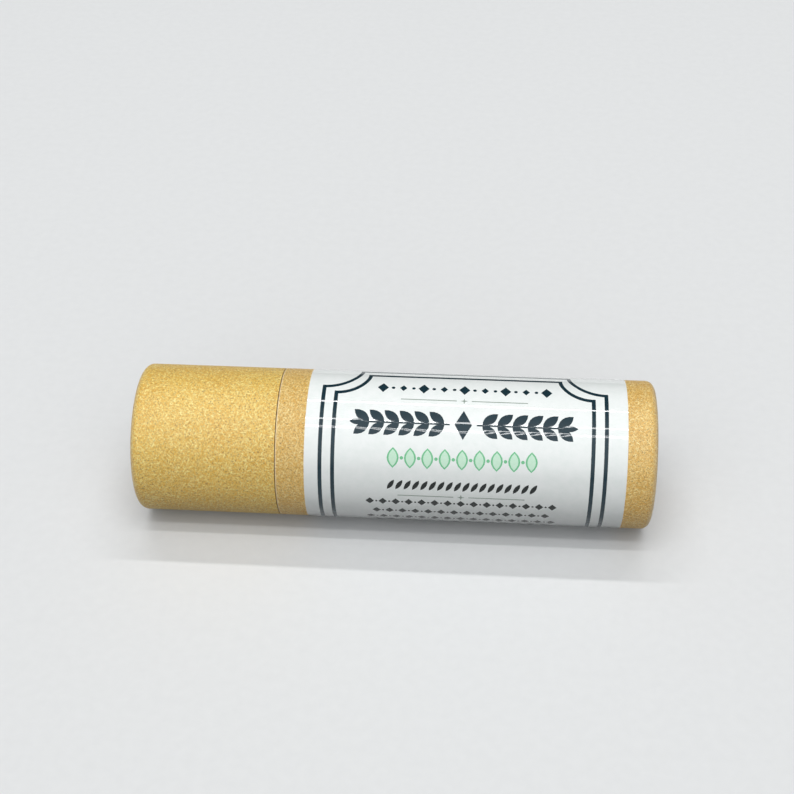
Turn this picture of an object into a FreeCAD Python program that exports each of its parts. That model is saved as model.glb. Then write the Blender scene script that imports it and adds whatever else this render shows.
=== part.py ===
import FreeCAD, Part

import math
import os
import re

import Sketcher
from FreeCAD import Placement, Rotation, Vector

# A push-up lip balm in a kraft paper tube, lying on its side.
# X runs along the tube towards its foot, Y away from the viewer and Z up.
# The origin is under the middle of the closed tube, on the surface that it lies on.
# Lengths are in millimetres, angles in degrees, and names that end in share are ratios.

doc = FreeCAD.newDocument("push_up_balm")

# Driving dimensions

SIZES = [
    ("tube_diameter", 20.4, "outside of the kraft wrap"),
    ("cap_length", 19.75, "cap with the gap at its open end"),
    ("sleeve_length", 50.8, "sleeve from the cap's open end to the foot"),
    ("seam_gap", 0.1, "gap between the cap and the sleeve"),
    ("board_wall", 1.1, "sleeve wall, board and wrap together"),
    ("wrap_thickness", 0.15, "kraft paper glued round the board"),
    ("wrap_slit", 0.1, "gap where the edges of a wrap meet"),
    ("rim_bend", 0.1, "inner radius of the paper where a rim curls in"),
    ("rim_leg", 0.5, "straight end of the curl, inside the tube"),
    ("neck_wall", 1.0, "board of the neck tube"),
    ("neck_bevel", 0.2, "bevel round the neck's mouth"),
    ("liner_thickness", 0.1, "parchment that lines the neck tube"),
    ("cap_play", 0.1, "radial clearance of the cap on the neck"),
    ("cap_headroom", 0.6, "from the neck's mouth to the facing in the cap"),
    ("cap_disc_thickness", 1.2, "board disc that closes the cap"),
    ("push_disc_thickness", 2.0, "board disc that the finger pushes"),
    ("push_disc_play", 0.05, "radial clearance of the push disc in the liner"),
    ("push_disc_bevel", 0.2, "edge that the die leaves round the push disc"),
    ("facing_thickness", 0.1, "parchment on the discs"),
    ("facing_margin", 0.2, "how far a facing stays inside its disc's edge"),
    ("balm_play", 0.07, "radial clearance of the balm in the liner"),
    ("balm_fill_gap", 3.0, "from the neck's mouth down to the edge of the balm"),
    ("balm_dish", 0.6, "how far the middle of the balm sank as it set"),
    ("dish_floor_share", 0.5, "level middle of that dish, of the balm's radius"),
    ("label_width", 42.86, "label along the tube"),
    ("label_back_strip", 10.11, "bare kraft between the label's edges, along the back"),
    ("label_thickness", 0.05, "gloss film label"),
    ("label_corner", 1.6, "corner radius of the label"),
    ("label_foot_margin", 4.05, "bare kraft between the label and the foot"),
    ("front_angle", 113.0, "from straight up to the label's middle, over the front"),
    ("cut_overrun", 1.0, "how far a cutting outline passes the edge that it trims"),
]

# Flats that stand for the half turn of a curled rim. It is odd, so that the middle one
# is the crest, which is pressed flat where the tube stands on it.

RIM_FLAT_COUNT = 5

sheet = doc.addObject("Spreadsheet::Sheet", "Sizes")
for row, (alias, value, meaning) in enumerate(SIZES, start=1):
    sheet.set(f"A{row}", alias)
    sheet.set(f"B{row}", str(value))
    sheet.set(f"C{row}", meaning)
    sheet.setAlias(f"B{row}", alias)
doc.recompute()

reckoner = doc.addObject("App::FeaturePython", "Reckoner")
reckoner.addProperty("App::PropertyFloat", "result")


def cells(formula):
    """Point every size named in a formula at its cell of the sheet."""
    return re.sub(r"\b[a-z]+(?:_[a-z]+)+\b", r"Sizes.\g<0>", formula)


def amount(formula):
    """Work a formula out with the sizes as they are now."""
    reckoner.setExpression("result", cells(formula))
    reckoner.recompute()
    return reckoner.result


# Sizes that follow from the driving dimensions

TUBE_RADIUS = "tube_diameter / 2"
HALF_LENGTH = "(cap_length + sleeve_length) / 2"
AXIS_HEIGHT = f"({TUBE_RADIUS} + label_thickness)"
NECK_RADIUS = f"({TUBE_RADIUS} - board_wall)"
NECK_BORE = f"({NECK_RADIUS} - neck_wall)"
LINER_BORE = f"({NECK_BORE} - liner_thickness)"
CAP_BORE = f"({NECK_RADIUS} + cap_play)"
CAP_WALL = "(board_wall - cap_play)"
RIM_RADIUS = "(board_wall + rim_bend)"
RIM_DEPTH = f"({RIM_RADIUS} * cos(90 / {RIM_FLAT_COUNT}))"
CREST_RADIUS = f"({TUBE_RADIUS} - {RIM_RADIUS})"
SEAT_DEPTH = f"({RIM_DEPTH} + rim_leg)"
DISC_DEPTH = f"({SEAT_DEPTH} + cap_disc_thickness)"
MOUTH_DEPTH = f"({DISC_DEPTH} + facing_thickness + cap_headroom)"
BALM_FOOT_DEPTH = f"({SEAT_DEPTH} + push_disc_thickness + facing_thickness)"
BALM_RADIUS = f"({LINER_BORE} - balm_play)"
PUSH_DISC_RADIUS = f"({LINER_BORE} - push_disc_play)"
LABEL_SWEEP = f"(360 - label_back_strip / ({TUBE_RADIUS}) * 180 / pi)"
SLIT_ANGLE = f"(wrap_slit / ({TUBE_RADIUS}) * 180 / pi)"

CAP_END = -1
FOOT_END = 1


def station(end, depth):
    """Place along the tube, from how deep it lies behind one end's crest."""
    return f"{end} * ({HALF_LENGTH} - ({depth}))"


# Bodies, sketches and the features that use them

def new_body(label, turn="0"):
    """A body on the tube's axis, turned about it from the top over the front."""
    body = doc.addObject("PartDesign::Body", label)
    body.Label = label
    body.Placement = Placement(Vector(), Rotation(Vector(1, 0, 0), amount(turn)))
    body.setExpression("Placement.Base.z", cells(AXIS_HEIGHT))
    return body


def new_sketch(body, name, plane):
    """A sketch on one of the body's own origin planes."""
    sketch = body.newObject("Sketcher::SketchObject", name)
    planes = {feature.Role: feature for feature in body.Origin.OriginFeatures}
    sketch.AttachmentSupport = [(planes[plane], "")]
    sketch.MapMode = "FlatFace"
    return sketch


def bind(sketch, constraint, formula):
    """Add a constraint and tie its value to the sheet."""
    index = sketch.addConstraint(constraint)
    sketch.setExpression(f"Constraints[{index}]", cells(formula))


def arc_between(start, end, radius):
    """The arc of a radius that turns left from start to end."""
    chord = end - start
    reach = math.sqrt(radius ** 2 - (chord.Length / 2) ** 2)
    centre = (start + end) / 2 + Vector(-chord.y, chord.x, 0).normalize() * reach
    first = math.atan2(start.y - centre.y, start.x - centre.x)
    last = math.atan2(end.y - centre.y, end.x - centre.x)
    if last < first:
        last += 2 * math.pi
    return Part.ArcOfCircle(Part.Circle(centre, Vector(0, 0, 1), radius), first, last)


def draw_outline(sketch, corners, arcs=None):
    """Draw a closed outline through corners (along, across), each tied to the sheet.

    The edge that leaves a corner named in arcs is an arc of the radius given there.
    A positive side turns left and a negative one right: arcs = {corner: (radius, side)}.
    """
    places = [Vector(amount(along), amount(across), 0) for along, across in corners]
    edges = []
    for number, start in enumerate(places):
        end = places[(number + 1) % len(places)]
        if number not in (arcs or {}):
            index = sketch.addGeometry(Part.LineSegment(start, end))
            edges.append((index, 1, 2))
            continue
        radius, side = arcs[number]
        size = amount(radius)
        if side > 0:
            edge, first, last = arc_between(start, end, size), 1, 2
        else:
            edge, first, last = arc_between(end, start, size), 2, 1
        index = sketch.addGeometry(edge)
        edges.append((index, first, last))
        bind(sketch, Sketcher.Constraint("Radius", index, size), radius)
    for number, (along, across) in enumerate(corners):
        index, first, last = edges[number]
        before, before_first, before_last = edges[number - 1]
        sketch.addConstraint(Sketcher.Constraint("Coincident", before, before_last, index, first))
        place = places[number]
        bind(sketch, Sketcher.Constraint("DistanceX", index, first, place.x), along)
        bind(sketch, Sketcher.Constraint("DistanceY", index, first, place.y), across)


def draw_circle(sketch, radius):
    """Draw a circle about the tube's axis."""
    index = sketch.addGeometry(Part.Circle(Vector(), Vector(0, 0, 1), amount(radius)))
    sketch.addConstraint(Sketcher.Constraint("Coincident", index, 3, -1, 1))
    bind(sketch, Sketcher.Constraint("Radius", index, amount(radius)), radius)


def revolve(body, corners, sweep="360"):
    """Turn an outline about the tube's axis, half of the sweep to each side."""
    sketch = new_sketch(body, f"{body.Label}_profile", "XZ_Plane")
    draw_outline(sketch, corners)
    turned = body.newObject("PartDesign::Revolution", f"{body.Label}_turned")
    turned.Profile = sketch
    turned.ReferenceAxis = (sketch, ["H_Axis"])
    turned.Midplane = True
    turned.setExpression("Angle", cells(sweep))
    sketch.Visibility = False
    return turned


def extrude_disc(body, radius, face, thickness):
    """Pad a round disc from one face of it, towards the foot."""
    sketch = new_sketch(body, f"{body.Label}_outline", "YZ_Plane")
    sketch.setExpression("AttachmentOffset.Base.z", cells(face))
    draw_circle(sketch, radius)
    pad = body.newObject("PartDesign::Pad", f"{body.Label}_pad")
    pad.Profile = sketch
    pad.setExpression("Length", cells(thickness))
    sketch.Visibility = False
    return pad


# A tube end that is curled inwards. The board and its wrap are bent together about one
# centre, so the two layers differ only in how deep they lie under the outside.

def curl_path(end, under):
    """The curl's path at a depth under the outside, from the wall round to the seat."""
    radius = f"({RIM_RADIUS} - {under})"
    path = []
    for step in range(RIM_FLAT_COUNT + 1):
        angle = 180 * step / RIM_FLAT_COUNT
        depth = f"{RIM_DEPTH} - {radius} * sin({angle})"
        path.append((station(end, depth), f"{CREST_RADIUS} + {radius} * cos({angle})"))
    path.append((station(end, SEAT_DEPTH), f"{CREST_RADIUS} - {radius}"))
    return path


def curled_tube(name, end, length, wall):
    """The board of a cap or sleeve, and the kraft wrap that follows it round the curl.

    The board is rolled in until it lies against its own wall, and its end is the seat.
    """
    open_end = station(end, length)
    skin = [(open_end, TUBE_RADIUS)] + curl_path(end, "0")
    glue = [(open_end, f"{TUBE_RADIUS} - wrap_thickness")] + curl_path(end, "wrap_thickness")
    bore = f"{TUBE_RADIUS} - {wall}"
    board = new_body(f"{name}_tube")
    revolve(board, glue + [(station(end, SEAT_DEPTH), bore), (open_end, bore)])
    wrap = new_body(f"{name}_wrap", "front_angle")
    revolve(wrap, skin + glue[::-1], f"360 - {SLIT_ANGLE}")
    return [board, wrap]


# Cap

def cap_disc():
    """Board disc glued in the cap, against the end of the curl."""
    body = new_body("cap_disc")
    extrude_disc(body, CAP_BORE, station(CAP_END, SEAT_DEPTH), "cap_disc_thickness")
    return body


def cap_disc_facing():
    """Parchment on the inner face of the cap's disc."""
    body = new_body("cap_disc_facing")
    radius = f"{CAP_BORE} - facing_margin"
    extrude_disc(body, radius, station(CAP_END, DISC_DEPTH), "facing_thickness")
    return body


# Neck

def neck_tube():
    """Board tube glued in the sleeve, from the foot's curl to the mouth under the cap."""
    body = new_body("neck_tube")
    mouth = station(CAP_END, MOUTH_DEPTH)
    foot = station(FOOT_END, SEAT_DEPTH)
    revolve(body, [
        (mouth, NECK_BORE),
        (mouth, f"{NECK_RADIUS} - neck_bevel"),
        (f"{mouth} + neck_bevel", NECK_RADIUS),
        (foot, NECK_RADIUS),
        (foot, NECK_BORE),
    ])
    return body


def neck_liner():
    """Parchment that lines the neck from end to end."""
    body = new_body("neck_liner")
    mouth = station(CAP_END, MOUTH_DEPTH)
    foot = station(FOOT_END, SEAT_DEPTH)
    revolve(body, [(mouth, LINER_BORE), (mouth, NECK_BORE), (foot, NECK_BORE), (foot, LINER_BORE)])
    return body


# Push-up

def push_disc():
    """Die-cut board disc that rests on the foot's curl and carries the balm.

    The die leaves its first edge slightly round, on the side that the finger pushes.
    """
    body = new_body("push_disc")
    face = station(FOOT_END, f"{SEAT_DEPTH} + push_disc_thickness")
    pad = extrude_disc(body, PUSH_DISC_RADIUS, face, "push_disc_thickness")
    doc.recompute()
    rims = {edge.CenterOfMass.x: number for number, edge in enumerate(pad.Shape.Edges, start=1)
            if isinstance(edge.Curve, Part.Circle)}
    bevel = body.newObject("PartDesign::Chamfer", "push_disc_edge")
    bevel.Base = (pad, [f"Edge{rims[max(rims)]}"])
    bevel.setExpression("Size", cells("push_disc_bevel"))
    return body


def push_disc_facing():
    """Parchment between the push disc and the balm."""
    body = new_body("push_disc_facing")
    radius = f"{PUSH_DISC_RADIUS} - facing_margin"
    extrude_disc(body, radius, station(FOOT_END, BALM_FOOT_DEPTH), "facing_thickness")
    return body


def balm():
    """Balm cast in the neck. Its top sank in the middle as it set, and stayed at the wall."""
    body = new_body("balm")
    edge = f"({station(CAP_END, MOUTH_DEPTH)} + balm_fill_gap)"
    foot = station(FOOT_END, BALM_FOOT_DEPTH)
    floor = f"{edge} + balm_dish"
    revolve(body, [
        (floor, "0"),
        (floor, f"{BALM_RADIUS} * dish_floor_share"),
        (edge, BALM_RADIUS),
        (foot, BALM_RADIUS),
        (foot, "0"),
    ])
    return body


# Label

def trim_corner(sketch, end, side, edge):
    """Outline of what is trimmed off one corner of the label, to leave it round."""
    inner = f"{edge} - {end} * label_corner"
    beyond = f"{edge} + {end} * cut_overrun"
    draw_outline(sketch, [
        (inner, f"{-side} * cut_overrun"),
        (inner, "0"),
        (edge, f"{side} * label_corner"),
        (beyond, f"{side} * label_corner"),
        (beyond, f"{-side} * cut_overrun"),
    ], arcs={1: ("label_corner", end * side)})


def label():
    """Film label wrapped round the sleeve, open along the back, with round corners."""
    body = new_body("label", "front_angle")
    foot_edge = station(FOOT_END, "label_foot_margin")
    cap_edge = station(FOOT_END, "label_foot_margin + label_width")
    outside = f"{TUBE_RADIUS} + label_thickness"
    revolve(body, [
        (cap_edge, TUBE_RADIUS),
        (cap_edge, outside),
        (foot_edge, outside),
        (foot_edge, TUBE_RADIUS),
    ], LABEL_SWEEP)
    for side, name in ((1, "lower"), (-1, "upper")):
        sketch = new_sketch(body, f"label_{name}_corners", "XY_Plane")
        turn = amount(f"{side} * {LABEL_SWEEP} / 2")
        sketch.AttachmentOffset = Placement(Vector(), Rotation(Vector(1, 0, 0), turn))
        trim_corner(sketch, CAP_END, side, cap_edge)
        trim_corner(sketch, FOOT_END, side, foot_edge)
        pocket = body.newObject("PartDesign::Pocket", f"label_{name}_trim")
        pocket.Profile = sketch
        pocket.Reversed = True
        pocket.setExpression("Length", cells(f"{outside} + cut_overrun"))
        sketch.Visibility = False
    return body


# The whole assembly, checked and written out

pieces = curled_tube("cap", CAP_END, "(cap_length - seam_gap)", CAP_WALL)
pieces += curled_tube("sleeve", FOOT_END, "sleeve_length", "board_wall")
pieces += [cap_disc(), cap_disc_facing(), neck_tube(), neck_liner()]
pieces += [push_disc(), push_disc_facing(), balm(), label()]

doc.recompute()
doc.removeObject(reckoner.Name)

for thing in doc.Objects:
    if "Invalid" in thing.State or "Error" in thing.State:
        raise RuntimeError(f"{thing.Label} did not build: {thing.State}")
for piece in pieces:
    if piece.Shape.isNull() or not piece.Shape.isValid() or len(piece.Shape.Solids) != 1:
        raise RuntimeError(f"{piece.Label} is not one valid solid")

os.makedirs("parts", exist_ok=True)
for piece in pieces:
    piece.Shape.exportStep(f"parts/{piece.Label}.step")
    box = piece.Shape.BoundBox
    print(f"{piece.Label}: {piece.Shape.Volume:.2f} mm3, x {box.XMin:.2f} to {box.XMax:.2f},"
          f" z {box.ZMin:.2f} to {box.ZMax:.2f}")
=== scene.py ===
# %% [markdown]
# # A push-up lip balm in a kraft paper tube
# The object is a paper tube, 20.4 mm across and 70.5 mm long, that lies on its side. A cap
# covers the left two sevenths. It pulls off a neck, in which a board disc pushes the balm
# up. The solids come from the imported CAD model. This lesson dresses them: it rebuilds the
# thin papers and the balm in finer detail, gives every surface its material, and lights it.

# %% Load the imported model
import math

import bpy
from mathutils import Matrix, Vector


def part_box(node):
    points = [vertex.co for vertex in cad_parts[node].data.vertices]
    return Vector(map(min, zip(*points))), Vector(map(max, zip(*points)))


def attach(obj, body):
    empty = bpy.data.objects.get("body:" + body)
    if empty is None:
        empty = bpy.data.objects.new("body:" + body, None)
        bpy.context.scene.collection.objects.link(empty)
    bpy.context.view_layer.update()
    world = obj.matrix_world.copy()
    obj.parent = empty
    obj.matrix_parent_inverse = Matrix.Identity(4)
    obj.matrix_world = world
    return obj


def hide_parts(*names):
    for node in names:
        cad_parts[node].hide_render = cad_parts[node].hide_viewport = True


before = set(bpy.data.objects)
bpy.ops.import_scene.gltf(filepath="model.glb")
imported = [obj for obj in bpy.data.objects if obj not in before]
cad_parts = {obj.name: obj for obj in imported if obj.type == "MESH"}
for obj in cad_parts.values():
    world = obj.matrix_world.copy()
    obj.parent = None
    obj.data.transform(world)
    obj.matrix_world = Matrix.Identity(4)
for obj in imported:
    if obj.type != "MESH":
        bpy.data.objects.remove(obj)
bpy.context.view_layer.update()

# %% [markdown]
# ## Where things are
# Blender works in metres here, and paper is best thought of in millimetres. A place on the
# tube is given by three numbers: x along it, the distance from its axis, and how far round
# it lies, measured as arc length from the front at axis height, upwards positive.

# %% Units and the tube's own sizes
MM = 0.001
AXIS_HEIGHT = 10.25
WRAP_RADIUS = 10.2
TURN_STEPS = 288
MERGE_GAP = 0.002
SLIT = 0.1
SMOOTH_ANGLE = 35


def reach(node):
    """Lowest and highest corner of a CAD node, in millimetres."""
    low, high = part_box(node)
    return low / MM, high / MM


for node in sorted(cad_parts):
    low, high = reach(node)
    print(f"{node}: x {low.x:.2f} to {high.x:.2f}, z {low.z:.2f} to {high.z:.2f}")

# %% [markdown]
# ## Drawing and turning a section
# A tube end, a curled rim and a cast plug of balm are all round about one axis. By hand you
# would draw half of the section and spin it. The first helper draws a line of edges from a
# single vertex by extruding it, the second one spins the closed line about the axis.

# %% Helpers that draw and spin
def begin(name):
    """Start a new piece as one vertex at the origin, in edit mode."""
    bpy.ops.object.select_all(action="DESELECT")
    bpy.ops.mesh.primitive_plane_add(size=MM, location=(0, 0, 0))
    piece = bpy.context.object
    piece.name = piece.data.name = name
    bpy.ops.object.mode_set(mode="EDIT")
    bpy.ops.mesh.select_all(action="SELECT")
    bpy.ops.mesh.merge(type="CENTER")
    return piece


def trace(points):
    """Pull the selected vertex along a line of points in millimetres."""
    here = Vector((0, 0, 0))
    for number, point in enumerate(points):
        step = (Vector(point) - here) * MM
        if number == 0:
            bpy.ops.transform.translate(value=step)
        else:
            bpy.ops.mesh.extrude_vertices_move(TRANSFORM_OT_translate={"value": step})
        here = Vector(point)


def close_up():
    """Merge doubles and turn every face outwards, with all of the mesh selected."""
    bpy.ops.mesh.select_all(action="SELECT")
    bpy.ops.mesh.remove_doubles(threshold=MERGE_GAP * MM)
    bpy.ops.mesh.normals_make_consistent(inside=False)


def finish_piece(piece):
    """Leave edit mode and smooth the shading up to an angle."""
    bpy.ops.object.mode_set(mode="OBJECT")
    bpy.ops.object.shade_smooth_by_angle(angle=math.radians(SMOOTH_ANGLE))
    print(f"{piece.name}: {len(piece.data.polygons)} faces,"
          f" {piece.dimensions.x / MM:.2f} x {piece.dimensions.y / MM:.2f}"
          f" x {piece.dimensions.z / MM:.2f} mm")
    return piece


def section_point(x, radius, angle):
    """A point of a section that stands at an angle round the tube, in millimetres."""
    turn = math.radians(angle)
    return (x, -radius * math.cos(turn), AXIS_HEIGHT + radius * math.sin(turn))


def turn_section(name, outline, slit_angle=None):
    """Spin a closed outline of (x, radius) about the tube's axis.

    A slit angle leaves a gap there, where the edges of a paper meet. An outline that ends
    on the axis needs no closing line, because spinning closes it.
    """
    piece = begin(name)
    gap = 0 if slit_angle is None else math.degrees(SLIT / WRAP_RADIUS)
    start = (0 if slit_angle is None else slit_angle) + gap / 2
    loop = outline if outline[-1][1] == 0 else outline + outline[:1]
    trace([section_point(x, radius, start) for x, radius in loop])
    bpy.ops.mesh.select_all(action="SELECT")
    bpy.ops.mesh.remove_doubles(threshold=MERGE_GAP * MM)
    bpy.ops.mesh.select_all(action="SELECT")
    if slit_angle is not None:
        bpy.ops.mesh.edge_face_add()
    bpy.ops.mesh.spin(steps=TURN_STEPS, angle=math.radians(360 - gap),
                      center=(0, 0, AXIS_HEIGHT * MM), axis=(-1, 0, 0))
    close_up()
    return finish_piece(piece)


# %% [markdown]
# ## The kraft wraps
# The brown skin is a sheet of kraft paper, glued round the board and bent in with it at the
# end. The maker wets and rolls the edge, so the bend is a half round. The CAD model draws it
# as five flats, and the middle one is the crest. Here the section gets a smooth bend that is
# just as deep, in the same space, and is spun once round with the slit left at the back.

# %% Sections of the two wraps
WRAP_THICKNESS = 0.15
CURL_RADIUS = 1.2
CREST_RADIUS = WRAP_RADIUS - CURL_RADIUS
CREST_HALF_ANGLE = 18  # the crest is the middle one of five flats over 180 degrees
BEND_STEPS = 18
SLIT_ANGLE = 157


def wrap_section(open_end, crest, seat):
    """Outline of a wrap: along the tube, round the curl and back along the glue."""
    side = 1 if crest > 0 else -1
    straight = crest - side * CURL_RADIUS * math.cos(math.radians(CREST_HALF_ANGLE))
    depth = abs(crest - straight)
    outline = [(open_end, WRAP_RADIUS - 0.03), (open_end + side * 0.01, WRAP_RADIUS - 0.01),
               (open_end + side * 0.03, WRAP_RADIUS)]
    for layer in (0, WRAP_THICKNESS):
        bend = []
        for step in range(BEND_STEPS + 1):
            angle = math.radians(180 / BEND_STEPS * step)
            bend.append((straight + side * (depth - layer) * math.sin(angle),
                         CREST_RADIUS + (CURL_RADIUS - layer) * math.cos(angle)))
        bend.append((seat, CREST_RADIUS - CURL_RADIUS + layer))
        outline += bend if layer == 0 else bend[::-1]
    outline.append((open_end, WRAP_RADIUS - WRAP_THICKNESS))
    return outline


# %% Build the wraps
cap_low, cap_high = reach("cap_wrap")
cap_seat = reach("cap_disc")[0].x
cap_skin = turn_section("cap_kraft_wrap", wrap_section(cap_high.x, cap_low.x, cap_seat),
                        slit_angle=SLIT_ANGLE)
sleeve_low, sleeve_high = reach("sleeve_wrap")
foot_seat = reach("push_disc")[1].x
sleeve_skin = turn_section("sleeve_kraft_wrap",
                           wrap_section(sleeve_low.x, sleeve_high.x, foot_seat),
                           slit_angle=SLIT_ANGLE)

# %% [markdown]
# ## The balm
# Balm is poured hot into the neck and sinks as it sets: highest at the wall, where it
# clings, and lowest in the middle. The outline follows that dish with a small meniscus, and
# it is spun with its first and last point on the axis, which closes both ends.

# %% Cast the balm
BALM_RADIUS = 7.93
DISH_DEPTH = 0.6
DISH_STEPS = 24
DISH_FLOOR = 0.3  # share of the radius over which the dish is flat
DISH_SLOPE = 0.62  # share of the radius over which it rises to the wall


def balm_section(edge, foot):
    """Outline of the balm from the middle of its dish to the middle of its foot."""
    outline = []
    for step in range(DISH_STEPS + 1):
        share = step / DISH_STEPS
        rise = min(1, max(0, (share - DISH_FLOOR) / DISH_SLOPE))
        dip = 0.5 + 0.5 * math.cos(math.pi * rise)
        radius = BALM_RADIUS * share
        outline.append((edge + DISH_DEPTH * dip, radius if share < 1 else BALM_RADIUS - 0.05))
    outline += [(edge + 0.05, BALM_RADIUS - 0.01), (edge + 0.12, BALM_RADIUS)]
    outline += [(foot - 0.3, BALM_RADIUS), (foot - 0.09, BALM_RADIUS - 0.09),
                (foot, BALM_RADIUS - 0.3), (foot, 0)]
    return outline


balm_low, balm_high = reach("balm")
balm_cast = turn_section("cast_balm", balm_section(balm_low.x, balm_high.x))

# %% [markdown]
# ## The label
# A label is die-cut flat and then wrapped, so it is modelled that way. Its rectangle is
# traced in the plane that touches the tube in front, its corners are rounded with a vertex
# bevel, it is cut into narrow strips so that it can bend, and the Simple Deform modifier
# rolls it to the tube's radius. The print is made in the same way, a hundredth of a
# millimetre prouder.

# %% Helpers for flat shapes that are wrapped round the tube
FILM_RADIUS = 10.238  # inside the CAD label's 10.25, which leaves room for the ink
FILM_STRIP = 0.25
PRINT_PROUD = 0.01
PRINT_STRIP = 0.5


def flat_piece(name, corners):
    """A flat face with corners given as (x along the tube, arc round it)."""
    piece = begin(name)
    trace([(x, 0, arc) for x, arc in corners])
    bpy.ops.mesh.select_all(action="SELECT")
    bpy.ops.mesh.edge_face_add()
    bpy.ops.object.mode_set(mode="OBJECT")
    return piece


def repeat(piece, count, step_x):
    """Copy a flat piece along a row with an Array modifier."""
    bpy.context.view_layer.objects.active = piece
    row = piece.modifiers.new("row", "ARRAY")
    row.count = count
    row.use_relative_offset = False
    row.use_constant_offset = True
    row.constant_offset_displace = (step_x * MM, 0, 0)
    bpy.ops.object.modifier_apply(modifier="row")
    return piece


def join(name, pieces):
    """Join pieces into one, which keeps all their faces."""
    bpy.ops.object.select_all(action="DESELECT")
    for piece in pieces:
        piece.select_set(True)
    bpy.context.view_layer.objects.active = pieces[0]
    if len(pieces) > 1:
        bpy.ops.object.join()
    piece = bpy.context.object
    piece.name = piece.data.name = name
    return piece


def wrap_round(piece, outside, thickness, strip):
    """Cut a flat piece into strips, thicken it inwards and roll it round the tube."""
    bpy.ops.object.select_all(action="DESELECT")
    piece.select_set(True)
    bpy.context.view_layer.objects.active = piece
    arcs = [vertex.co.z for vertex in piece.data.vertices]
    first, last = min(arcs), max(arcs)
    bpy.ops.object.mode_set(mode="EDIT")
    for number in range(math.ceil(first / MM / strip), math.floor(last / MM / strip) + 1):
        bpy.ops.mesh.select_all(action="SELECT")
        bpy.ops.mesh.bisect(plane_co=(0, 0, number * strip * MM), plane_no=(0, 0, 1))
    bpy.ops.mesh.select_all(action="SELECT")
    bpy.ops.mesh.extrude_region_move(TRANSFORM_OT_translate={"value": (0, thickness * MM, 0)})
    bpy.ops.mesh.select_all(action="SELECT")
    bpy.ops.mesh.normals_make_consistent(inside=False)
    bpy.ops.object.mode_set(mode="OBJECT")
    roll = piece.modifiers.new("roll", "SIMPLE_DEFORM")
    roll.deform_method = "BEND"
    roll.deform_axis = "X"
    roll.angle = (last - first) / (outside * MM)
    bpy.ops.object.modifier_apply(modifier="roll")
    piece.location = (0, -outside * MM, AXIS_HEIGHT * MM)
    bpy.ops.object.transform_apply(location=True, rotation=False, scale=False)
    bpy.ops.object.shade_smooth_by_angle(angle=math.radians(30))
    print(f"{piece.name}: {len(piece.data.polygons)} faces, arc {first / MM:.1f}"
          f" to {last / MM:.1f} mm")
    return piece


# %% Cut and wrap the label
LABEL_CORNER = 1.6
LABEL_FROM, LABEL_TO = -174.6, 128.6  # degrees from the front at axis height
label_low, label_high = reach("label")
LABEL_BOTTOM = math.radians(LABEL_FROM) * FILM_RADIUS
LABEL_TOP = math.radians(LABEL_TO) * FILM_RADIUS
label_film = flat_piece("gloss_label", [
    (label_low.x, LABEL_BOTTOM), (label_high.x, LABEL_BOTTOM),
    (label_high.x, LABEL_TOP), (label_low.x, LABEL_TOP)])
bpy.ops.object.mode_set(mode="EDIT")
bpy.ops.mesh.select_all(action="SELECT")
bpy.ops.mesh.bevel(offset=LABEL_CORNER * MM, segments=10, affect="VERTICES", profile=0.5)
bpy.ops.object.mode_set(mode="OBJECT")
wrap_round(label_film, FILM_RADIUS, FILM_RADIUS - WRAP_RADIUS, FILM_STRIP)

# %% [markdown]
# ## The printed frame
# The label carries a double rule with notched corners, a common frame of old labels. Each
# rule is a band between two outlines. A notch is a quarter circle about the corner, so both
# outlines share its centre, and they meet the sides at a mitre.

# %% Draw one rule of the frame
PRINT_MIDDLE = Vector((9.44, -4.11))
RULE_WIDTH = 0.53
NOTCH_STEPS = 14


def rule_outline(half_x, half_arc, notch, offset):
    """Closed outline of a notched rectangle, moved outwards by an offset."""
    radius = notch - offset
    mitre = math.sqrt(radius ** 2 - offset ** 2)
    points = []
    for side_x, side_arc, along_arc_first in ((1, 1, True), (-1, 1, False),
                                              (-1, -1, True), (1, -1, False)):
        corner = (side_x * half_x, side_arc * half_arc)
        reach_in = math.degrees(math.atan2(offset, mitre))
        notch_points = []
        for step in range(NOTCH_STEPS + 1):
            angle = math.radians(-reach_in + (90 + 2 * reach_in) * step / NOTCH_STEPS)
            notch_points.append((corner[0] - side_x * radius * math.sin(angle),
                                 corner[1] - side_arc * radius * math.cos(angle)))
        points += notch_points if along_arc_first else notch_points[::-1]
    return [(PRINT_MIDDLE.x + x, PRINT_MIDDLE.y + arc) for x, arc in points]


def rule(name, half_x, half_arc, notch):
    """One rule of the frame: two closed outlines with a band of faces between them."""
    loops = []
    for offset in (RULE_WIDTH / 2, -RULE_WIDTH / 2):
        piece = begin(f"{name}_edge")
        outline = rule_outline(half_x, half_arc, notch, offset)
        trace([(x, 0, arc) for x, arc in outline + outline[:1]])
        bpy.ops.mesh.select_all(action="SELECT")
        bpy.ops.mesh.remove_doubles(threshold=MERGE_GAP * MM)
        bpy.ops.object.mode_set(mode="OBJECT")
        loops.append(piece)
    piece = join(name, loops)
    bpy.ops.object.mode_set(mode="EDIT")
    bpy.ops.mesh.select_all(action="SELECT")
    bpy.ops.mesh.bridge_edge_loops()
    bpy.ops.object.mode_set(mode="OBJECT")
    return piece


frame_rules = [rule("outer_rule", 18.95, 25.05, 4.9), rule("inner_rule", 17.25, 23.4, 4.35)]

# %% [markdown]
# ## Rows of ornament
# Inside the frame stand rows of plain ornament: lozenges and beads, a rope, small leaves in
# green, and a sprig of larger leaves. Most marks are drawn once and repeated along their row.
# The outlines come first, and then the rows, one ink at a time.

# %% Outlines of the marks
SIDE_MIDDLE = 0.7071  # how far out the middle of a straight side lies, at 45 degrees
LEAF_STEPS = 6


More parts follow.
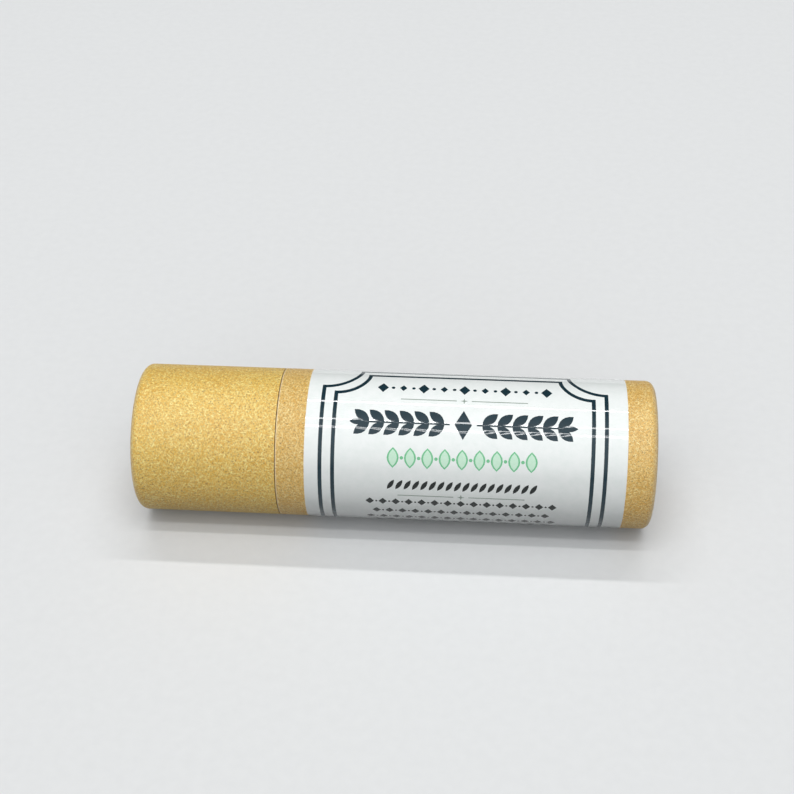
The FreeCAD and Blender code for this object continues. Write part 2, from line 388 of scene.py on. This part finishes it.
def lozenge(x, arc, width, height, waist=1.0):
    """Corners and side middles of a lozenge. A waist under 1 makes it a small star."""
    points = []
    for step in range(8):
        angle = math.radians(45 * step)
        share = 1.0 if step % 2 == 0 else waist * SIDE_MIDDLE
        points.append((x + share * width / 2 * math.cos(angle),
                       arc + share * height / 2 * math.sin(angle)))
    return points


def leaf(x, arc, length, width, lean, grow=0.0):
    """A pointed leaf from its stalk at (x, arc), leaning by an angle from the row."""
    points = []
    for side in (1, -1):
        for step in range(LEAF_STEPS):
            share = step / LEAF_STEPS if side > 0 else 1 - step / LEAF_STEPS
            half = side * (width / 2 + grow) * math.sin(math.pi * share) ** 0.8
            along = -grow + (length + 2 * grow) * share
            points.append((along, half))
    turn = math.radians(lean)
    return [(x + along * math.cos(turn) - across * math.sin(turn),
             arc + along * math.sin(turn) + across * math.cos(turn))
            for along, across in points]


def bead(x, arc, radius):
    """A round dot."""
    return [(x + radius * math.cos(math.radians(30 * step)),
             arc + radius * math.sin(math.radians(30 * step))) for step in range(12)]


def bar(x, arc, width, height):
    """A straight bar with its middle at (x, arc)."""
    return [(x - width / 2, arc - height / 2), (x + width / 2, arc - height / 2),
            (x + width / 2, arc + height / 2), (x - width / 2, arc + height / 2)]


def printed(name, marks, proud=PRINT_PROUD, depth=2 * PRINT_PROUD):
    """Join flat marks into one ink and wrap it, as proud of the film as is told."""
    return wrap_round(join(name, marks), FILM_RADIUS + proud, depth, PRINT_STRIP)


# %% The rows in dark teal
MIDDLE = PRINT_MIDDLE.x
SPRIG_ARC = 10.47
HEAD_ARC = 16.2
HEAD_STEP = 2.75
teal_marks = list(frame_rules)
for side in (1, -1):
    for lean in (40, -40):
        sprig = flat_piece("sprig_leaf", leaf(MIDDLE + side * 2.5, SPRIG_ARC, 2.7, 1.3,
                                              lean if side > 0 else 180 - lean))
        teal_marks.append(repeat(sprig, 6, side * 2.0))
    teal_marks.append(flat_piece("sprig_tip", leaf(MIDDLE + side * 13.1, SPRIG_ARC, 2.1, 0.9,
                                                   0 if side > 0 else 180)))
    teal_marks.append(flat_piece("sprig_stalk",
                                 bar(MIDDLE + side * 7.6, SPRIG_ARC, 11.6, 0.22)))
teal_marks.append(flat_piece("sprig_heart", lozenge(MIDDLE, SPRIG_ARC, 2.3, 4.1)))
for number in range(9):
    x = MIDDLE + (number - 4) * HEAD_STEP
    size = (1.5, 1.9) if number % 2 == 0 else (1.0, 1.2)
    teal_marks.append(flat_piece("head_lozenge", lozenge(x, HEAD_ARC, *size)))
    if number < 8:
        teal_marks.append(flat_piece("head_bead", bead(x + HEAD_STEP / 2, HEAD_ARC, 0.25)))
teal_print = printed("teal_print", teal_marks)

# %% The rows in black
FIELD_TOP = -1.1
FIELD_ROW_GAP = 2.1
FIELD_STEP = 1.75
strand = flat_piece("rope_strand", leaf(MIDDLE - 9.9, 1.15, 1.75, 0.62, 58))
black_marks = [repeat(strand, 18, 1.12)]
for line in range(10):
    arc = FIELD_TOP - FIELD_ROW_GAP * line
    count = 14 if line % 2 else 15
    start = MIDDLE - (count - 1) / 2 * FIELD_STEP
    mark = flat_piece("field_lozenge", lozenge(start, arc, 1.15, 1.2))
    black_marks.append(repeat(mark, count, FIELD_STEP))
    dot = flat_piece("field_bead", bead(start + FIELD_STEP / 2, arc, 0.15))
    black_marks.append(repeat(dot, count - 1, FIELD_STEP))
black_print = printed("black_print", black_marks)

# %% The row of leaves in green, pale inside a darker edge
LEAF_STEP = 2.3
LEAF_EDGE = 0.24
first_leaf = (MIDDLE - 4 * LEAF_STEP, 4.35, 2.8, 1.6, 90)
green_edge = repeat(flat_piece("leaf_edge", leaf(*first_leaf)), 9, LEAF_STEP)
green_dots = repeat(flat_piece("leaf_bead", bead(MIDDLE - 3.5 * LEAF_STEP, 5.75, 0.24)),
                    8, LEAF_STEP)
green_print = printed("green_print", [green_edge, green_dots],
                      0.6 * PRINT_PROUD, 1.6 * PRINT_PROUD)
pale_fill = repeat(flat_piece("leaf_fill", leaf(*first_leaf, -LEAF_EDGE)), 9, LEAF_STEP)
pale_print = printed("pale_green_print", [pale_fill], depth=PRINT_PROUD)

# %% Hairlines with a small star
hair_marks = []
for arc in (14.1, 0.15, -22.4):
    for side in (1, -1):
        hair_marks.append(flat_piece("hairline", bar(MIDDLE + side * 4.75, arc, 7.5, 0.13)))
    hair_marks.append(flat_piece("hair_star", lozenge(MIDDLE, arc, 1.0, 1.0, 0.4)))
hair_print = printed("hairline_print", hair_marks)

# %% [markdown]
# ## Materials
# A material starts from what the real thing is. Every pattern below is set in millimetres:
# the object coordinates, which are metres here, are multiplied by a thousand first. One
# helper turns a web colour to linear light, and one adds a node with its settings and links.

# %% Helpers for materials
def colour(hex_code):
    """An sRGB web colour as linear light."""
    parts = [int(hex_code[start:start + 2], 16) / 255 for start in (1, 3, 5)]
    linear = [part / 12.92 if part <= 0.04045 else ((part + 0.055) / 1.055) ** 2.4
              for part in parts]
    return (*linear, 1.0)


def add_node(owner, kind, settings=None, inputs=None):
    """Add a node to a material or the world. An input is a value or an output to link."""
    node = owner.node_tree.nodes.new(kind)
    for name, value in (settings or {}).items():
        setattr(node, name, value)
    for name, value in (inputs or {}).items():
        if isinstance(value, bpy.types.NodeSocket):
            owner.node_tree.links.new(value, node.inputs[name])
        else:
            node.inputs[name].default_value = value
    return node


def new_material(name):
    """An empty node material, with its coordinates in millimetres and its shader."""
    material = bpy.data.materials.new(name)
    material.use_nodes = True
    material.node_tree.nodes.clear()
    place = add_node(material, "ShaderNodeTexCoord")
    in_mm = add_node(material, "ShaderNodeVectorMath", {"operation": "SCALE"},
                     {0: place.outputs["Object"], "Scale": 1000.0})
    shader = add_node(material, "ShaderNodeBsdfPrincipled")
    add_node(material, "ShaderNodeOutputMaterial", None, {"Surface": shader.outputs["BSDF"]})
    return material, in_mm.outputs["Vector"], shader


COLOUR_A, COLOUR_B, COLOUR_OUT = 6, 7, 2  # the colour sockets of a Mix node


def link_surface(material, shader, tone, dull, relief):
    """Link a colour, a roughness and a relief to the shader."""
    links = material.node_tree.links
    links.new(tone.outputs[COLOUR_OUT], shader.inputs["Base Color"])
    links.new(dull.outputs["Result"], shader.inputs["Roughness"])
    links.new(relief.outputs["Normal"], shader.inputs["Normal"])


# %% [markdown]
# ## Kraft paper
# Kraft is unbleached pulp, so its fibres show: pale bundles about half a millimetre long that
# lie in every direction, darker specks of bark between them, and clouds some 7 mm wide where
# the sheet is thicker. A single fibre is a few hundredths of a millimetre wide, too fine to
# show in the render, so the bundles are drawn several times as wide. A noise that is
# stretched in one direction makes fibres that lie that way, and the palest of three turned
# sets looks like a felt of them. To follow the paper, the pattern needs the sheet's own flat
# coordinates. They are worked out from the place on the tube: along it and over the rim, and
# round it, with the join where the sheet is slit.

# %% The flat coordinates of a sheet that is wrapped round the tube
def wrapped_sheet(material, place):
    """Coordinates in millimetres on a paper that goes round the tube and over its rims."""
    turned = add_node(material, "ShaderNodeMapping", {"vector_type": "TEXTURE"},
                      {"Vector": place, "Location": (0, 0, AXIS_HEIGHT),
                       "Rotation": (-math.radians(SLIT_ANGLE), 0, 0)})
    apart = add_node(material, "ShaderNodeSeparateXYZ", None, {0: turned.outputs["Vector"]})
    across = add_node(material, "ShaderNodeCombineXYZ", None,
                      {"Y": apart.outputs["Y"], "Z": apart.outputs["Z"]})
    radius = add_node(material, "ShaderNodeVectorMath", {"operation": "LENGTH"},
                      {0: across.outputs["Vector"]})
    fall = add_node(material, "ShaderNodeMath", {"operation": "SUBTRACT"},
                    {0: WRAP_RADIUS, 1: radius.outputs["Value"]})
    end = add_node(material, "ShaderNodeMath", {"operation": "SIGN"}, {0: apart.outputs["X"]})
    along = add_node(material, "ShaderNodeMath", {"operation": "MULTIPLY_ADD"},
                     {0: end.outputs[0], 1: fall.outputs[0], 2: apart.outputs["X"]})
    angle = add_node(material, "ShaderNodeMath", {"operation": "ARCTAN2"},
                     {0: apart.outputs["Z"], 1: apart.outputs["Y"]})
    arc = add_node(material, "ShaderNodeMath", {"operation": "MULTIPLY"},
                   {0: angle.outputs[0], 1: WRAP_RADIUS})
    sheet = add_node(material, "ShaderNodeCombineXYZ", None,
                     {"X": along.outputs[0], "Y": arc.outputs[0]})
    return sheet.outputs["Vector"]


# %% Uncoated kraft paper
FIBRE_LENGTH = 0.5
FIBRE_WIDTH = 0.15
SPECK = 0.19
CLOUD = 7.0
# Edges are painted paler with this colour: towards each rim, and as a painted highlight along
# the sleeve's open edge at the seam.
EDGE_PALE = "#fbeed2"


def kraft_paper(name, base, dark, light, cloud, roughness, wrapped=True, pale_edges=()):
    """Kraft paper with its fibres, specks and clouds.

    Each pale edge is three numbers: the place along the tube where the paper is painted
    palest, the place where that ends, and how far it goes, from 0 to 1.
    """
    material, place, shader = new_material(name)
    sheet = wrapped_sheet(material, place) if wrapped else place
    felt = None
    for turn in (12, 71, 133):
        lie = add_node(material, "ShaderNodeMapping", None,
                       {"Vector": sheet, "Rotation": (0, 0, math.radians(turn)),
                        "Location": (turn, 0, 0)})
        drawn = add_node(material, "ShaderNodeVectorMath", {"operation": "MULTIPLY"},
                         {0: lie.outputs["Vector"],
                          1: (1 / FIBRE_LENGTH, 1 / FIBRE_WIDTH, 1 / FIBRE_WIDTH)})
        strand = add_node(material, "ShaderNodeTexNoise", {"noise_dimensions": "3D"},
                          {"Vector": drawn.outputs["Vector"], "Scale": 1.0, "Detail": 1.5,
                           "Roughness": 0.5, "Distortion": 0.9})
        if felt is None:
            felt = strand.outputs["Fac"]
        else:
            felt = add_node(material, "ShaderNodeMath", {"operation": "MAXIMUM"},
                            {0: felt, 1: strand.outputs["Fac"]}).outputs[0]
    specks = add_node(material, "ShaderNodeTexNoise", {"noise_dimensions": "3D"},
                      {"Vector": sheet, "Scale": 1 / SPECK, "Detail": 2.0,
                       "Roughness": 0.6, "Distortion": 0.8})
    clouds = add_node(material, "ShaderNodeTexNoise", {"noise_dimensions": "3D"},
                      {"Vector": sheet, "Scale": 1 / CLOUD, "Detail": 2.0, "Roughness": 0.5})
    light_share = add_node(material, "ShaderNodeMapRange", None,
                           {"Value": felt, "From Min": 0.55, "From Max": 0.7,
                            "To Min": 0.0, "To Max": 1.0})
    dark_share = add_node(material, "ShaderNodeMapRange", None,
                          {"Value": specks.outputs["Fac"], "From Min": 0.5,
                           "From Max": 0.3, "To Min": 0.0, "To Max": 1.0})
    cloud_share = add_node(material, "ShaderNodeMapRange", None,
                           {"Value": clouds.outputs["Fac"], "From Min": 0.35,
                            "From Max": 0.68, "To Min": 0.0, "To Max": 1.0})
    clouded = add_node(material, "ShaderNodeMix", {"data_type": "RGBA"},
                       {"Factor": cloud_share.outputs["Result"], COLOUR_A: colour(base),
                        COLOUR_B: colour(cloud)})
    darkened = add_node(material, "ShaderNodeMix", {"data_type": "RGBA"},
                        {"Factor": dark_share.outputs["Result"],
                         COLOUR_A: clouded.outputs[COLOUR_OUT], COLOUR_B: colour(dark)})
    paper = add_node(material, "ShaderNodeMix", {"data_type": "RGBA"},
                     {"Factor": light_share.outputs["Result"],
                      COLOUR_A: darkened.outputs[COLOUR_OUT], COLOUR_B: colour(light)})
    apart = add_node(material, "ShaderNodeSeparateXYZ", None, {0: place})
    # Paint the paper paler towards each given edge, broken up by the specks.
    for palest_at, ends_at, most in pale_edges:
        edge_share = add_node(material, "ShaderNodeMapRange", {"interpolation_type": "SMOOTHSTEP"},
                          {"Value": apart.outputs["X"], "From Min": ends_at,
                           "From Max": palest_at, "To Min": 0.0, "To Max": 1.8 * most})
        broken_edge_share = add_node(material, "ShaderNodeMath", {"operation": "MULTIPLY",
                                                       "use_clamp": True},
                          {0: edge_share.outputs["Result"], 1: specks.outputs["Fac"]})
        paper = add_node(material, "ShaderNodeMix", {"data_type": "RGBA"},
                         {"Factor": broken_edge_share.outputs[0], COLOUR_A: paper.outputs[COLOUR_OUT],
                          COLOUR_B: colour(EDGE_PALE)})
    dull = add_node(material, "ShaderNodeMapRange", None,
                    {"Value": specks.outputs["Fac"], "From Min": 0.3, "From Max": 0.7,
                     "To Min": roughness - 0.07, "To Max": roughness + 0.1})
    height = add_node(material, "ShaderNodeMath", {"operation": "SUBTRACT"},
                      {0: light_share.outputs["Result"], 1: dark_share.outputs["Result"]})
    relief = add_node(material, "ShaderNodeBump", None,
                      {"Height": height.outputs[0], "Strength": 0.75,
                       "Distance": 0.03 * MM})
    link_surface(material, shader, paper, dull, relief)
    shader.inputs["Specular IOR Level"].default_value = 1.0
    return material


# How far in from each rim the kraft is painted paler, and how much.
RIM_PALE_WIDTH, RIM_PALENESS = 0.9, 0.3
cap_kraft = kraft_paper("uncoated kraft paper of the cap", "#e5b033", "#8f5b16", "#ffee9c",
                        "#ebbb42", 0.44,
                        pale_edges=((cap_low.x, cap_low.x + RIM_PALE_WIDTH, RIM_PALENESS),))
# The sleeve's second pale edge, along its open end at the seam, is a painted highlight where
# light catches that edge.
sleeve_kraft = kraft_paper("uncoated kraft paper of the sleeve", "#deaa44", "#8f621e",
                           "#fde6a0", "#e5b655", 0.46,
                           pale_edges=((sleeve_high.x, sleeve_high.x - RIM_PALE_WIDTH, RIM_PALENESS),
                                 (sleeve_low.x + 0.06, sleeve_low.x + 0.22, 0.5)))
kraft_card = kraft_paper("die-cut kraft card", "#c99f58", "#9b7238", "#e2c388", "#d2ab66",
                         0.62, wrapped=False)

# %% [markdown]
# ## Tube board
# The tube itself is wound from plies of grey-brown board. The plies show on every cut end as
# rings about a third of a millimetre apart, which a wave of the distance from the axis
# draws. On the round sides that distance is constant, so no ring shows there. The plies are
# wound as a screw, and their butt joint shows on the neck as a thin slanting line.

# %% Spiral-wound tube board
PLY = 0.33
WIND_PITCH = 19.0
BOARD_FIBRE = 0.45


def tube_board(name, base, dark, light, roughness):
    """Wound board with plies on its cut ends and a slanting joint on its sides."""
    material, place, shader = new_material(name)
    apart = add_node(material, "ShaderNodeSeparateXYZ", None, {0: place})
    up = add_node(material, "ShaderNodeMath", {"operation": "SUBTRACT"},
                  {0: apart.outputs["Z"], 1: AXIS_HEIGHT})
    across = add_node(material, "ShaderNodeCombineXYZ", None,
                      {"Y": apart.outputs["Y"], "Z": up.outputs[0]})
    radius = add_node(material, "ShaderNodeVectorMath", {"operation": "LENGTH"},
                      {0: across.outputs["Vector"]})
    fibres = add_node(material, "ShaderNodeTexNoise", {"noise_dimensions": "3D"},
                      {"Vector": place, "Scale": 1 / BOARD_FIBRE, "Detail": 4.0,
                       "Roughness": 0.65, "Distortion": 0.8})
    wander = add_node(material, "ShaderNodeMath", {"operation": "MULTIPLY_ADD"},
                      {0: fibres.outputs["Fac"], 1: 0.12, 2: radius.outputs["Value"]})
    plies = add_node(material, "ShaderNodeMath", {"operation": "MULTIPLY"},
                     {0: wander.outputs[0], 1: 2 * math.pi / PLY})
    ply_wave = add_node(material, "ShaderNodeMath", {"operation": "SINE"},
                        {0: plies.outputs[0]})
    ply_share = add_node(material, "ShaderNodeMapRange", None,
                         {"Value": ply_wave.outputs[0], "From Min": 0.2, "From Max": 1.0,
                          "To Min": 0.0, "To Max": 0.45})
    angle = add_node(material, "ShaderNodeMath", {"operation": "ARCTAN2"},
                     {0: up.outputs[0], 1: apart.outputs["Y"]})
    screw = add_node(material, "ShaderNodeMath", {"operation": "MULTIPLY_ADD"},
                     {0: angle.outputs[0], 1: WIND_PITCH / (2 * math.pi),
                      2: apart.outputs["X"]})
    lap = add_node(material, "ShaderNodeMath", {"operation": "PINGPONG"},
                   {0: screw.outputs[0], 1: WIND_PITCH / 2})
    joint = add_node(material, "ShaderNodeMapRange", None,
                     {"Value": lap.outputs[0], "From Min": 0.16, "From Max": 0.06,
                      "To Min": 0.0, "To Max": 0.7})
    fleck_share = add_node(material, "ShaderNodeMapRange", None,
                           {"Value": fibres.outputs["Fac"], "From Min": 0.48,
                            "From Max": 0.66, "To Min": 0.0, "To Max": 0.8})
    plied = add_node(material, "ShaderNodeMix", {"data_type": "RGBA"},
                     {"Factor": ply_share.outputs["Result"], COLOUR_A: colour(base),
                      COLOUR_B: colour(dark)})
    flecked = add_node(material, "ShaderNodeMix", {"data_type": "RGBA"},
                       {"Factor": fleck_share.outputs["Result"],
                        COLOUR_A: plied.outputs[COLOUR_OUT], COLOUR_B: colour(light)})
    jointed = add_node(material, "ShaderNodeMix", {"data_type": "RGBA"},
                       {"Factor": joint.outputs["Result"],
                        COLOUR_A: flecked.outputs[COLOUR_OUT], COLOUR_B: colour(dark)})
    dull = add_node(material, "ShaderNodeMapRange", None,
                    {"Value": fibres.outputs["Fac"], "From Min": 0.3, "From Max": 0.7,
                     "To Min": roughness - 0.05, "To Max": roughness + 0.08})
    height = add_node(material, "ShaderNodeMath", {"operation": "SUBTRACT"},
                      {0: fibres.outputs["Fac"], 1: joint.outputs["Result"]})
    relief = add_node(material, "ShaderNodeBump", None,
                      {"Height": height.outputs[0], "Strength": 0.4,
                       "Distance": 0.06 * MM})
    link_surface(material, shader, jointed, dull, relief)
    shader.inputs["Specular IOR Level"].default_value = 0.3
    return material


board = tube_board("spiral-wound tube board", "#b99a6b", "#8a6c43", "#d3b98c", 0.7)

# %% [markdown]
# ## Parchment and balm
# Parchment paper is smooth, slightly see-through and cream, with faint clouds. The balm is
# beeswax and oil: pale, soft-looking because light goes into it, with a dull bloom in
# patches and pinholes where air rose as it was poured. Both are one soft surface with clouds
# in colour and gloss. The pinholes are small spots about the points of a Voronoi pattern.

# %% Baking parchment, and beeswax balm
GRAIN = 0.25


def soft_surface(name, base, shade, roughness, cloud_size, bump, pinhole_gap=None):
    """A smooth pale surface with soft clouds in colour and gloss, and a fine grain."""
    material, place, shader = new_material(name)
    clouds = add_node(material, "ShaderNodeTexNoise", {"noise_dimensions": "3D"},
                      {"Vector": place, "Scale": 1 / cloud_size, "Detail": 4.0,
                       "Roughness": 0.6, "Distortion": 0.4})
    grain = add_node(material, "ShaderNodeTexNoise", {"noise_dimensions": "3D"},
                     {"Vector": place, "Scale": 1 / GRAIN, "Detail": 2.0, "Roughness": 0.6})
    share = add_node(material, "ShaderNodeMapRange", None,
                     {"Value": clouds.outputs["Fac"], "From Min": 0.35, "From Max": 0.7,
                      "To Min": 0.0, "To Max": 1.0})
    tinted = add_node(material, "ShaderNodeMix", {"data_type": "RGBA"},
                      {"Factor": share.outputs["Result"], COLOUR_A: colour(base),
                       COLOUR_B: colour(shade)})
    dull = add_node(material, "ShaderNodeMapRange", None,
                    {"Value": clouds.outputs["Fac"], "From Min": 0.3, "From Max": 0.7,
                     "To Min": roughness - 0.08, "To Max": roughness + 0.1})
    height = grain.outputs["Fac"]
    if pinhole_gap:
        points = add_node(material, "ShaderNodeTexVoronoi", None,
                          {"Vector": place, "Scale": 1 / pinhole_gap})
        open_share = add_node(material, "ShaderNodeMapRange", None,
                              {"Value": points.outputs["Distance"], "From Min": 0.06,
                               "From Max": 0.12, "To Min": -4.0, "To Max": 0.0})
        height = add_node(material, "ShaderNodeMath", {"operation": "ADD"},
                          {0: height, 1: open_share.outputs["Result"]}).outputs[0]
    relief = add_node(material, "ShaderNodeBump", None,
                      {"Height": height, "Strength": bump, "Distance": 0.05 * MM})
    link_surface(material, shader, tinted, dull, relief)
    return material, shader


parchment, _ = soft_surface("baking parchment", "#efe6cf", "#e4d8bb", 0.5, 4.0, 0.15)
beeswax, beeswax_shader = soft_surface("beeswax and oil balm", "#efe3bc", "#e8d9ab", 0.42, 5.0,
                                       0.2, pinhole_gap=1.3)
beeswax_shader.inputs["Subsurface Weight"].default_value = 0.35
beeswax_shader.inputs["Subsurface Radius"].default_value = (1.0, 0.75, 0.4)
beeswax_shader.inputs["Subsurface Scale"].default_value = 1.2 * MM
beeswax_shader.inputs["IOR"].default_value = 1.44

# %% [markdown]
# ## Gloss label film and its inks
# The label is thin white plastic film that is printed and then varnished to a gloss. The
# varnish is a sharp clear coat over film and ink alike. Ink under a coat has no shine of its
# own, so the shader's own specular level is low and the coat gives the reflections. The film
# is never quite flat, so the coat gets a very shallow ripple.

# %% White film and its inks under a gloss varnish
RIPPLE = 2.2


def varnished_print(name, base, shade, patch):
    """Film or ink under a clear gloss varnish."""
    material, place, shader = new_material(name)
    mottle = add_node(material, "ShaderNodeTexNoise", {"noise_dimensions": "3D"},
                      {"Vector": place, "Scale": 1 / patch, "Detail": 3.0,
                       "Roughness": 0.6})
    share = add_node(material, "ShaderNodeMapRange", None,
                     {"Value": mottle.outputs["Fac"], "From Min": 0.35, "From Max": 0.7,
                      "To Min": 0.0, "To Max": 1.0})
    mottled = add_node(material, "ShaderNodeMix", {"data_type": "RGBA"},
                       {"Factor": share.outputs["Result"], COLOUR_A: colour(base),
                        COLOUR_B: colour(shade)})
    ripple = add_node(material, "ShaderNodeTexNoise", {"noise_dimensions": "3D"},
                      {"Vector": place, "Scale": 1 / RIPPLE, "Detail": 1.0, "Roughness": 0.4})
    relief = add_node(material, "ShaderNodeBump", None,
                      {"Height": ripple.outputs["Fac"], "Strength": 0.04,
                       "Distance": 0.05 * MM})
    dull = add_node(material, "ShaderNodeMapRange", None,
                    {"Value": mottle.outputs["Fac"], "From Min": 0.3, "From Max": 0.7,
                     "To Min": 0.45, "To Max": 0.6})
    link_surface(material, shader, mottled, dull, relief)
    material.node_tree.links.new(relief.outputs["Normal"], shader.inputs["Coat Normal"])
    shader.inputs["Specular IOR Level"].default_value = 0.1
    shader.inputs["Coat Weight"].default_value = 1.0
    shader.inputs["Coat Roughness"].default_value = 0.03
    shader.inputs["Coat IOR"].default_value = 1.42
    return material


label_film_white = varnished_print("white gloss label film", "#f0f3f1", "#eaefec", 1.2)
teal_ink = varnished_print("dark teal label ink", "#092832", "#0e313c", 0.4)
black_ink = varnished_print("green-black label ink", "#08110f", "#0e1817", 0.4)
green_ink = varnished_print("green label ink", "#6fc08c", "#7cc897", 0.4)
pale_ink = varnished_print("pale green label ink", "#c6ead0", "#cfeed7", 0.4)
grey_ink = varnished_print("grey-green label ink", "#8b998e", "#98a59b", 0.4)

# %% Dress the new pieces and the CAD nodes
for piece, body, slot, finish in (
        (cap_skin, "cap", "kraft", cap_kraft),
        (sleeve_skin, "tube", "kraft", sleeve_kraft),
        (balm_cast, "pusher", "wax_balm", beeswax),
        (label_film, "tube", "label_stock", label_film_white),
        (teal_print, "tube", "label_stock", teal_ink),
        (black_print, "tube", "label_stock", black_ink),
        (green_print, "tube", "label_stock", green_ink),
        (pale_print, "tube", "label_stock", pale_ink),
        (hair_print, "tube", "label_stock", grey_ink)):
    piece.data.materials.clear()
    piece.data.materials.append(finish)
    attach(piece, body)
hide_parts("cap_wrap")
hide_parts("sleeve_wrap")
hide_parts("balm")
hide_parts("label")

for node, finish in (("cap_tube", board), ("sleeve_tube", board), ("neck_tube", board),
                     ("cap_disc", kraft_card), ("push_disc", kraft_card),
                     ("cap_disc_facing", parchment), ("push_disc_facing", parchment),
                     ("neck_liner", parchment)):
    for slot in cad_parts[node].material_slots:
        slot.material = finish
    print(f"{node}: {finish.name}")

# %% [markdown]
# ## Floor, light and camera
# The floor is plain and pale. Long narrow lamps hang overhead, parallel to the tube, as the
# tubes of ceiling fittings would. They light it from above and draw the thin straight glints
# on the gloss label. The room is dim, with a wide soft glow in front and above, as from a
# window with a blind. The glow fades out, so its reflection in the varnish has no edge. The
# floor looks pale, but gives back less light than it shows: Light Path tells the rays of the
# camera and of reflections, which see the pale colour, from those that carry light round.

# %% Floor
bpy.ops.object.select_all(action="DESELECT")
bpy.ops.mesh.primitive_plane_add(size=4, location=(0, 0, 0))
floor = bpy.context.object
floor.name = "studio_floor"
FLOOR_GRAIN = 1.5
floor_paint, floor_place, floor_shader = new_material("pale matt backdrop paper")
floor_grain = add_node(floor_paint, "ShaderNodeTexNoise", {"noise_dimensions": "3D"},
                       {"Vector": floor_place, "Scale": 1 / FLOOR_GRAIN, "Detail": 3.0})
floor_tone = add_node(floor_paint, "ShaderNodeMix", {"data_type": "RGBA"},
                      {"Factor": floor_grain.outputs["Fac"], COLOUR_A: colour("#dcdddd"),
                       COLOUR_B: colour("#e2e3e3")})
ray = add_node(floor_paint, "ShaderNodeLightPath")
seen = add_node(floor_paint, "ShaderNodeMath", {"operation": "ADD"},
                {0: ray.outputs["Is Camera Ray"], 1: ray.outputs["Is Glossy Ray"]})
shown = add_node(floor_paint, "ShaderNodeMath", {"operation": "ADD", "use_clamp": True},
                 {0: seen.outputs[0], 1: ray.outputs["Is Transmission Ray"]})
floor_colour = add_node(floor_paint, "ShaderNodeMix", {"data_type": "RGBA"},
                        {"Factor": shown.outputs[0], COLOUR_A: colour("#4c4c4d"),
                         COLOUR_B: floor_tone.outputs[COLOUR_OUT]})
floor_paint.node_tree.links.new(floor_colour.outputs[COLOUR_OUT],
                                floor_shader.inputs["Base Color"])
floor_shader.inputs["Roughness"].default_value = 0.9
floor_shader.inputs["Specular IOR Level"].default_value = 0.1
floor.data.materials.append(floor_paint)
print(f"{floor.name}: {floor.dimensions.x:.1f} x {floor.dimensions.y:.1f} m")

# %% Lamps
LAMP_DISTANCE = 1.0
LAMP_LENGTH = 0.8
# Elevation in degrees, width in metres and power in watts of each lamp
FITTINGS = ((108.5, 0.035, 2.9), (79.0, 0.035, 1.85), (67.4, 0.014, 0.75), (65.4, 0.014, 0.75))


def strip_lamp(name, elevation, width, power):
    """A long lamp parallel to the tube, at an elevation from the front and over it."""
    turn = math.radians(elevation)
    place = Vector((0, -LAMP_DISTANCE * math.cos(turn), LAMP_DISTANCE * math.sin(turn)))
    aim = Vector((0, 0, AXIS_HEIGHT * MM)) - place
    bpy.ops.object.light_add(type="AREA", location=place,
                             rotation=aim.to_track_quat("-Z", "Y").to_euler())
    lamp = bpy.context.object
    lamp.name = name
    lamp.data.shape = "RECTANGLE"
    lamp.data.size = LAMP_LENGTH
    lamp.data.size_y = width
    lamp.data.energy = power
    print(f"{name}: {power} W at {elevation} degrees")


for number, fitting in enumerate(FITTINGS):
    strip_lamp(f"ceiling_tube_{number + 1}", *fitting)

# %% The room round it, brightest in front and above
WINDOW_ELEVATION = 49
window_way = (0, -math.cos(math.radians(WINDOW_ELEVATION)),
              math.sin(math.radians(WINDOW_ELEVATION)))
world = bpy.data.worlds.new("soft_room")
bpy.context.scene.world = world
world.use_nodes = True
room = world.node_tree.nodes["Background"]
room.inputs["Color"].default_value = colour("#f4f6f8")
facing = add_node(world, "ShaderNodeTexCoord")
toward = add_node(world, "ShaderNodeVectorMath", {"operation": "DOT_PRODUCT"},
                  {0: facing.outputs["Generated"], 1: window_way})
glow = add_node(world, "ShaderNodeMapRange", {"interpolation_type": "SMOOTHSTEP"},
                {"Value": toward.outputs["Value"], "From Min": 0.5, "From Max": 0.95,
                 "To Min": 0.1, "To Max": 1.4})
world.node_tree.links.new(glow.outputs["Result"], room.inputs["Strength"])
print(f"{world.name}: brightest at {WINDOW_ELEVATION} degrees")

# %% Camera at the photograph's angle
CAMERA_PLACE = Vector((0.011758, -0.156668, 0.148465))
CAMERA_FORWARD = Vector((-0.05643, 0.76956, -0.63608))
CAMERA_RIGHT = Vector((0.99775, 0.06658, -0.00797))
CAMERA_LENS = 68.0
forward = CAMERA_FORWARD.normalized()
right = CAMERA_RIGHT.normalized()
above = right.cross(forward).normalized()
turned = Matrix((right, above, -forward)).transposed()
bpy.ops.object.camera_add(location=CAMERA_PLACE, rotation=turned.to_euler())
camera = bpy.context.object
camera.data.lens = CAMERA_LENS
camera.data.sensor_width = 36.0
camera.data.clip_start = 0.01
bpy.context.scene.camera = camera
bpy.context.scene.view_settings.view_transform = "Standard"
print("camera at", [round(value / MM, 1) for value in CAMERA_PLACE], "mm")

# %% Update the view layer
bpy.context.view_layer.update()
